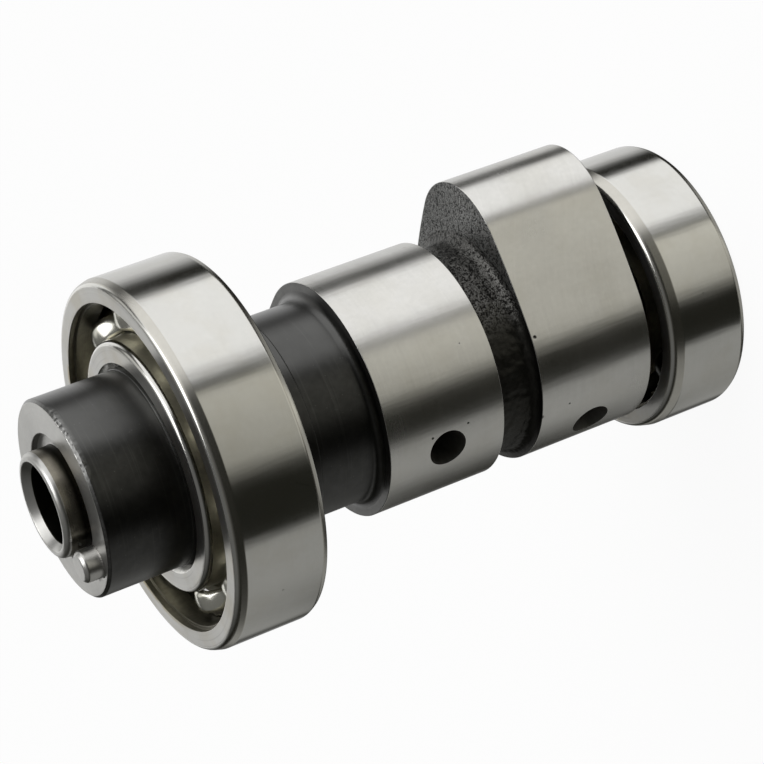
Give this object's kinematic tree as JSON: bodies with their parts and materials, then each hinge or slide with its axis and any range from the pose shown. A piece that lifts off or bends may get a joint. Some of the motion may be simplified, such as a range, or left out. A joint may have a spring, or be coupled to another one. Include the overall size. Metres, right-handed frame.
{
  "type": "camshaft",
  "caption": "Short overhead camshaft with two ground lobes, running in an open ball bearing at each end, with a dowelled and bored nose.",
  "frame": {"origin": "on the shaft's axis at the rear bearing's end face, on which the shaft stands", "axes": "+Z along the shaft's axis from the rear bearing to the nose; the nose's dowel pin lies on the -Y side, and the lobes' noses lie either side of +Y"},
  "size_m": [0.047, 0.047, 0.089],
  "materials": {
    "shaft_steel": "forged steel with ground lobes, a turned neck and a black oxide nose",
    "dowel_steel": "ground bright, slightly dull",
    "ring_steel": "ground bearing steel, fine grinding marks",
    "cage_steel": "pressed sheet steel",
    "rivet_steel": "plain steel rivet heads",
    "ball_steel": "polished bearing balls"
  },
  "bodies": {
    "shaft": {"camshaft": "shaft_steel", "dowel_pin": "dowel_steel", "front_inner_ring": "ring_steel", "rear_inner_ring": "ring_steel"},
    "front_outer": {"front_outer_ring": "ring_steel"},
    "front_cage": {"front_cage_nose_side": "cage_steel", "front_cage_lobe_side": "cage_steel", "front_cage_rivets": "rivet_steel", "front_ball_1": "ball_steel", "front_ball_2": "ball_steel", "front_ball_3": "ball_steel", "front_ball_4": "ball_steel", "front_ball_5": "ball_steel", "front_ball_6": "ball_steel", "front_ball_7": "ball_steel", "front_ball_8": "ball_steel", "front_ball_9": "ball_steel", "front_ball_10": "ball_steel"},
    "rear_outer": {"rear_outer_ring": "ring_steel"},
    "rear_cage": {"rear_cage_lobe_side": "cage_steel", "rear_cage_end_side": "cage_steel", "rear_cage_rivets": "rivet_steel", "rear_ball_1": "ball_steel", "rear_ball_2": "ball_steel", "rear_ball_3": "ball_steel", "rear_ball_4": "ball_steel", "rear_ball_5": "ball_steel", "rear_ball_6": "ball_steel", "rear_ball_7": "ball_steel", "rear_ball_8": "ball_steel"}
  },
  "joints": [
    {"name": "front_outer_spin", "type": "hinge", "parent": "shaft", "child": "front_outer", "pos_m": [0, 0, 0.0695], "axis": [0, 0, 1], "continuous": true},
    {"name": "front_cage_spin", "type": "hinge", "parent": "shaft", "child": "front_cage", "pos_m": [0, 0, 0.0695], "axis": [0, 0, 1], "continuous": true},
    {"name": "rear_outer_spin", "type": "hinge", "parent": "shaft", "child": "rear_outer", "pos_m": [0, 0, 0.0055], "axis": [0, 0, 1], "continuous": true},
    {"name": "rear_cage_spin", "type": "hinge", "parent": "shaft", "child": "rear_cage", "pos_m": [0, 0, 0.0055], "axis": [0, 0, 1], "continuous": true}
  ],
  "couplings": [
    {"joint": "front_cage_spin", "follows": "front_outer_spin", "ratio": 0.59375},
    {"joint": "rear_cage_spin", "follows": "rear_outer_spin", "ratio": 0.619}
  ]
}
